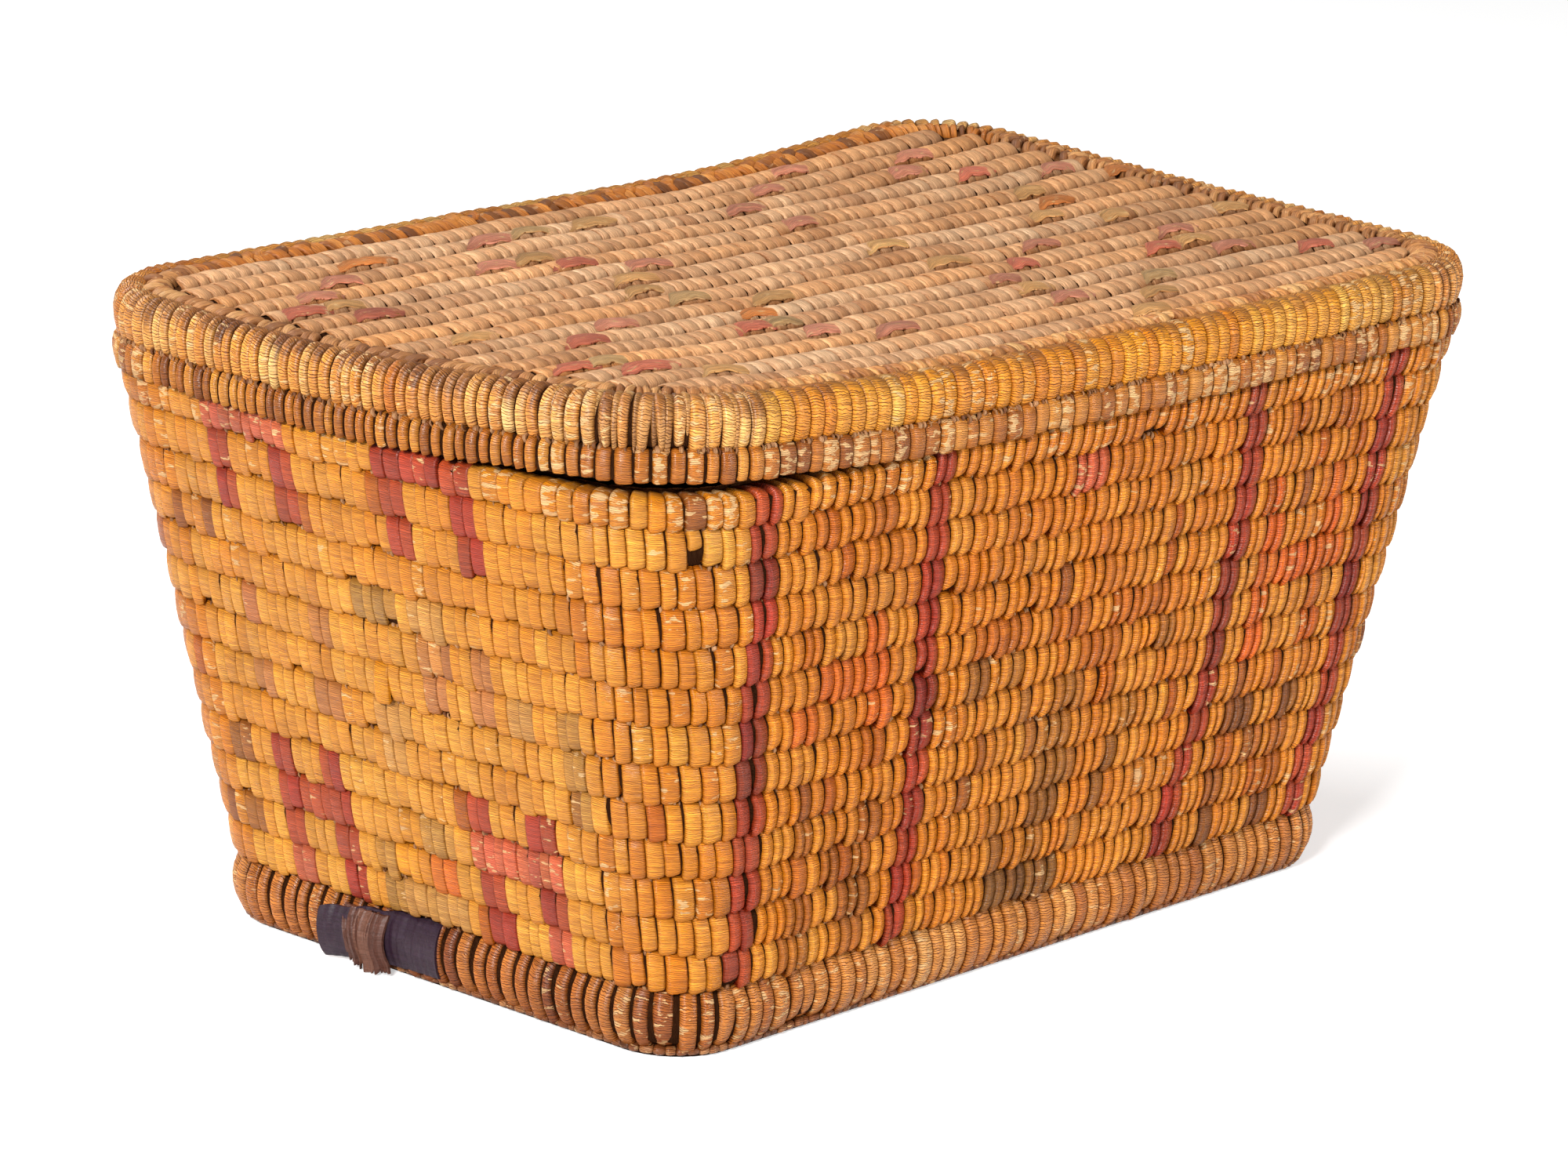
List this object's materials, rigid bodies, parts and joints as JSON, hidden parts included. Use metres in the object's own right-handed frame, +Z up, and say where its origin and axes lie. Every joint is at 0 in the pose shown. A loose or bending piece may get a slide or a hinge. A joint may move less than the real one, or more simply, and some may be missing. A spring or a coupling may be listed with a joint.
{
  "type": "imbricated basketry trunk",
  "caption": "Coiled rectangular basketry trunk with flaring walls, rounded corners, a round foot course and a loose flat lid.",
  "frame": {"origin": "on the ground under the middle of the trunk", "axes": "+X along the long sides, +Y towards the back long side, +Z up"},
  "size_m": [0.4136, 0.2548, 0.2085],
  "materials": {
    "honey_bark": "satin",
    "amber_bark": "satin",
    "brown_bark": "satin",
    "split_root": "matte",
    "dark_bark": "satin",
    "worn_bark": "matte"
  },
  "bodies": {
    "trunk": {"sole_course": "split_root", "foot_course": "brown_bark", "floor_border_course": "split_root", "wall_course_01": "honey_bark", "wall_course_02": "honey_bark", "wall_course_03": "honey_bark", "wall_course_04": "honey_bark", "wall_course_05": "honey_bark", "wall_course_06": "honey_bark", "wall_course_07": "honey_bark", "wall_course_08": "honey_bark", "wall_course_09": "honey_bark", "wall_course_10": "honey_bark", "wall_course_11": "honey_bark", "wall_course_12": "honey_bark", "rim_course": "honey_bark", "floor_row_01": "split_root", "floor_row_02": "split_root", "floor_row_03": "split_root", "floor_row_04": "split_root", "floor_row_05": "split_root", "floor_row_06": "split_root", "floor_row_07": "split_root", "floor_row_08": "split_root", "floor_row_09": "split_root", "floor_row_10": "split_root", "floor_row_11": "split_root", "floor_row_12": "split_root", "foot_loose_strip": "dark_bark", "foot_strip_fold": "worn_bark"},
    "lid": {"lid_skirt_course": "amber_bark", "lid_edge_course": "amber_bark", "lid_border_course": "split_root", "lid_row_01": "split_root", "lid_row_02": "split_root", "lid_row_03": "split_root", "lid_row_04": "split_root", "lid_row_05": "split_root", "lid_row_06": "split_root", "lid_row_07": "split_root", "lid_row_08": "split_root", "lid_row_09": "split_root", "lid_row_10": "split_root", "lid_row_11": "split_root", "lid_row_12": "split_root", "lid_row_13": "split_root", "lid_row_14": "split_root", "lid_row_15": "split_root", "lid_row_16": "split_root"}
  },
  "joints": [
    {"name": "lid_lift", "type": "slide", "parent": "trunk", "child": "lid", "axis": [0, 0, 1], "range_m": [0, 0.15]}
  ]
}
